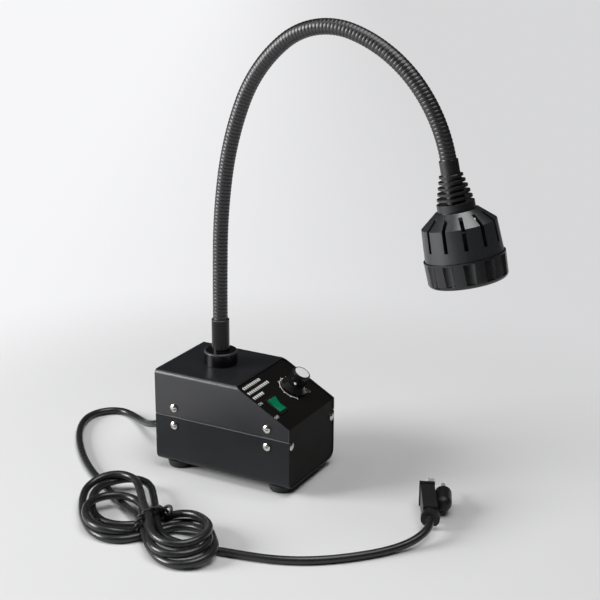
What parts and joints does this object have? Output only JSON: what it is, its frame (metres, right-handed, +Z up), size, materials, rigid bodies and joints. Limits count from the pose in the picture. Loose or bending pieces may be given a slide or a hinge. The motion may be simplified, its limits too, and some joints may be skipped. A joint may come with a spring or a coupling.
{
  "type": "gooseneck lamp",
  "caption": "Bench lamp with a vented lamp head on a bendable gooseneck, rising from a sloping-front transformer case with a dimmer knob and a rocker switch.",
  "frame": {"origin": "on the bench at the middle of the case's four feet", "axes": "+X towards the sloping control panel, +Y across the case, +Z up"},
  "size_m": [0.4843, 0.2863, 0.4607],
  "materials": {
    "case_paint": "satin black paint",
    "panel_black": "matt black paint",
    "zinc": "plated sheet",
    "nickel": "bright plate",
    "rubber": "matt",
    "neck_black": "satin black",
    "hose_black": "semi-gloss black coat",
    "head_black": "satin black",
    "lens": "clear",
    "mirror": "dichroic coat",
    "ceramic": "matt",
    "brass": "plain",
    "knob_black": "gloss",
    "knob_cap": "satin disc",
    "steel": "plain",
    "switch_black": "gloss",
    "switch_green": "clear green lens",
    "board_green": "board",
    "component_black": "moulded",
    "component_blue": "sleeve",
    "core_steel": "laminations",
    "coil_tape": "tape over wire",
    "terminal_white": "moulded",
    "cord_black": "smooth sheath",
    "plug_black": "moulded",
    "gland_black": "moulded",
    "tie_black": "twist tie"
  },
  "bodies": {
    "base": {"top_cover": "case_paint", "bottom_cover": "case_paint", "control_panel": "panel_black", "rear_panel": "case_paint", "joint_straps": "zinc", "case_screws": "nickel", "feet": "rubber", "foot_screws": "nickel", "neck_collar": "neck_black", "neck_ferrule": "neck_black", "neck_nut": "nickel", "neck_span_1": "hose_black", "pot_body": "steel", "pot_nut": "nickel", "rocker_housing": "switch_black", "rocker_terminals": "brass", "board_screw": "panel_black", "board_post": "steel", "transformer_core": "core_steel", "transformer_coil": "coil_tape", "transformer_frame": "zinc", "transformer_bolts": "nickel", "dimmer_board": "board_green", "triac": "component_black", "capacitor": "component_blue", "terminal_block": "terminal_white", "cord_gland": "gland_black", "gland_nut": "gland_black", "cord_lead": "cord_black", "cord_hank": "cord_black", "cord_tie": "tie_black", "cord_tail": "cord_black", "plug_body": "plug_black", "plug_blades": "brass", "plug_ground_pin": "brass"},
    "neck_2": {"neck_span_2": "hose_black"},
    "neck_3": {"neck_span_3": "hose_black"},
    "neck_4": {"neck_span_4": "hose_black"},
    "neck_5": {"neck_span_5": "hose_black"},
    "neck_6": {"neck_span_6": "hose_black"},
    "head": {"neck_span_7": "hose_black", "neck_boot": "rubber", "head_nipple": "steel", "head_nut": "nickel", "lamp_housing": "head_black", "lamp_carrier": "zinc", "lamp_reflector": "mirror", "lamp_capsule": "lens", "lamp_base": "ceramic", "lamp_pins": "steel", "lamp_holder": "ceramic", "holder_bracket": "zinc"},
    "glass": {"front_glass": "lens", "glass_gasket": "rubber"},
    "ring": {"bezel_ring": "head_black"},
    "knob": {"knob_body": "knob_black", "knob_cap": "knob_cap", "knob_set_screw": "steel", "pot_shaft": "steel"},
    "rocker": {"rocker": "switch_green"}
  },
  "joints": [
    {"name": "neck_bend_1", "type": "hinge", "parent": "base", "child": "neck_2", "pos_m": [-0.02722, 0, 0.22969], "axis": [0, 1, 0], "range_deg": [-30, 10]},
    {"name": "neck_bend_2", "type": "hinge", "parent": "neck_2", "child": "neck_3", "pos_m": [-0.02036, 0, 0.30432], "axis": [0.9877, 0, -0.1564], "range_deg": [-25, 25]},
    {"name": "neck_bend_3", "type": "hinge", "parent": "neck_3", "child": "neck_4", "pos_m": [-0.00024, 0, 0.3764], "axis": [0, 1, 0], "range_deg": [-40, 10]},
    {"name": "neck_bend_4", "type": "hinge", "parent": "neck_4", "child": "neck_5", "pos_m": [0.04401, 0, 0.43598], "axis": [0.6293, 0, -0.7771], "range_deg": [-25, 25]},
    {"name": "neck_bend_5", "type": "hinge", "parent": "neck_5", "child": "neck_6", "pos_m": [0.11473, 0, 0.44992], "axis": [0, 1, 0], "range_deg": [-60, 10]},
    {"name": "neck_bend_6", "type": "hinge", "parent": "neck_6", "child": "head", "pos_m": [0.17719, 0, 0.41013], "axis": [-0.7466, 0, -0.6652], "range_deg": [-25, 25]},
    {"name": "glass_slide", "type": "slide", "parent": "head", "child": "glass", "axis": [0.2198, 0, -0.9755], "range_m": [0, 0.009]},
    {"name": "ring_turn", "type": "hinge", "parent": "glass", "child": "ring", "pos_m": [0.23261, 0, 0.24873], "axis": [0.2198, 0, -0.9755], "range_deg": [0, 1080]},
    {"name": "knob_turn", "type": "hinge", "parent": "base", "child": "knob", "pos_m": [0.05115, 0.0163, 0.09714], "axis": [-0.4869, 0, -0.8735], "range_deg": [-32, 238]},
    {"name": "rocker_press", "type": "hinge", "parent": "base", "child": "rocker", "pos_m": [0.05108, -0.027, 0.08573], "axis": [0, 1, 0], "range_deg": [-20, 0]}
  ],
  "couplings": [
    {"joint": "glass_slide", "follows": "ring_turn", "m_per_rad": 0.00047746}
  ]
}
